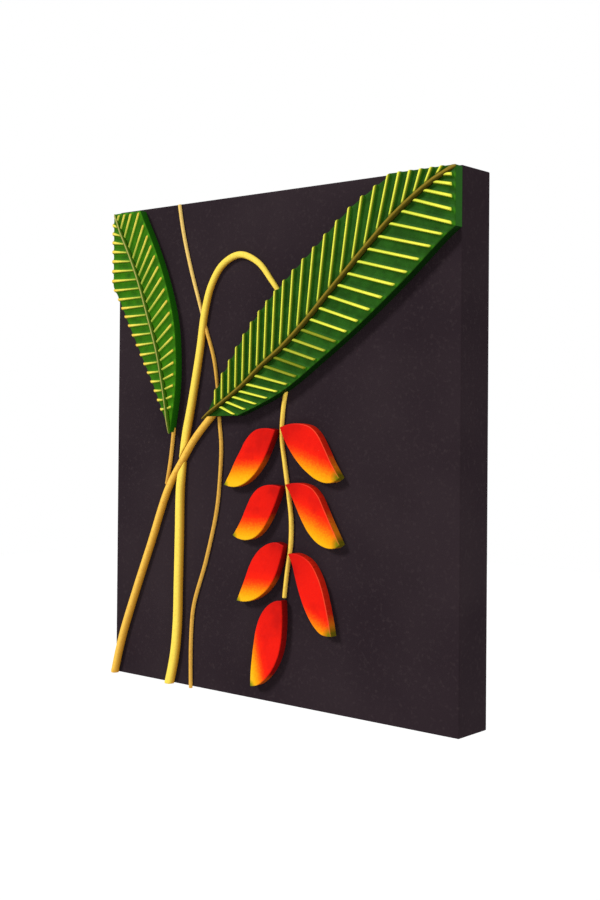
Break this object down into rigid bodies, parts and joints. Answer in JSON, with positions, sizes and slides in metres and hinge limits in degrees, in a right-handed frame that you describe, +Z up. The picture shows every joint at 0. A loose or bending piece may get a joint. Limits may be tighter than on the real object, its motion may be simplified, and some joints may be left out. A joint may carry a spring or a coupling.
{
  "type": "relief wall panel",
  "caption": "Deep-edged box panel for a wall, with carved painted leaves, stems and a hanging spray of bracts in relief on its front.",
  "frame": {"origin": "the hanging point: the middle notch of the sawtooth hanger, in the wall plane, 10 mm below the panel's top edge", "axes": "+Z up as it hangs, +Y into the wall, so the relief faces -Y; +X to the right for a viewer in front of it"},
  "size_m": [0.4029, 0.0545, 0.4518],
  "materials": {
    "dark_paint": "matte charcoal paint",
    "hanger_steel": "zinc plated",
    "leaf_paint": "green paint, yellow on the ribs",
    "midrib_paint": "olive paint",
    "stem_paint": "satin yellow paint shaded with ochre",
    "vine_paint": "satin ochre paint",
    "bract_paint": "airbrushed red paint, yellow and green at the tips"
  },
  "bodies": {
    "root": {"face_board": "dark_paint", "rail_left": "dark_paint", "rail_right": "dark_paint", "rail_top": "dark_paint", "rail_bottom": "dark_paint", "hanger": "hanger_steel", "hanger_nail_left": "hanger_steel", "hanger_nail_right": "hanger_steel", "leaf_left": "leaf_paint", "leaf_left_midrib": "midrib_paint", "leaf_right": "leaf_paint", "leaf_right_midrib": "midrib_paint", "stalk_lower": "stem_paint", "stalk_upper": "stem_paint", "rachis": "stem_paint", "petiole_right": "stem_paint", "petiole_left": "stem_paint", "vine_top": "vine_paint", "vine_middle": "vine_paint", "vine_lower": "vine_paint", "bract_left_1": "bract_paint", "bract_left_2": "bract_paint", "bract_left_3": "bract_paint", "bract_right_1": "bract_paint", "bract_right_2": "bract_paint", "bract_right_3": "bract_paint", "bract_end": "bract_paint"}
  },
  "joints": []
}
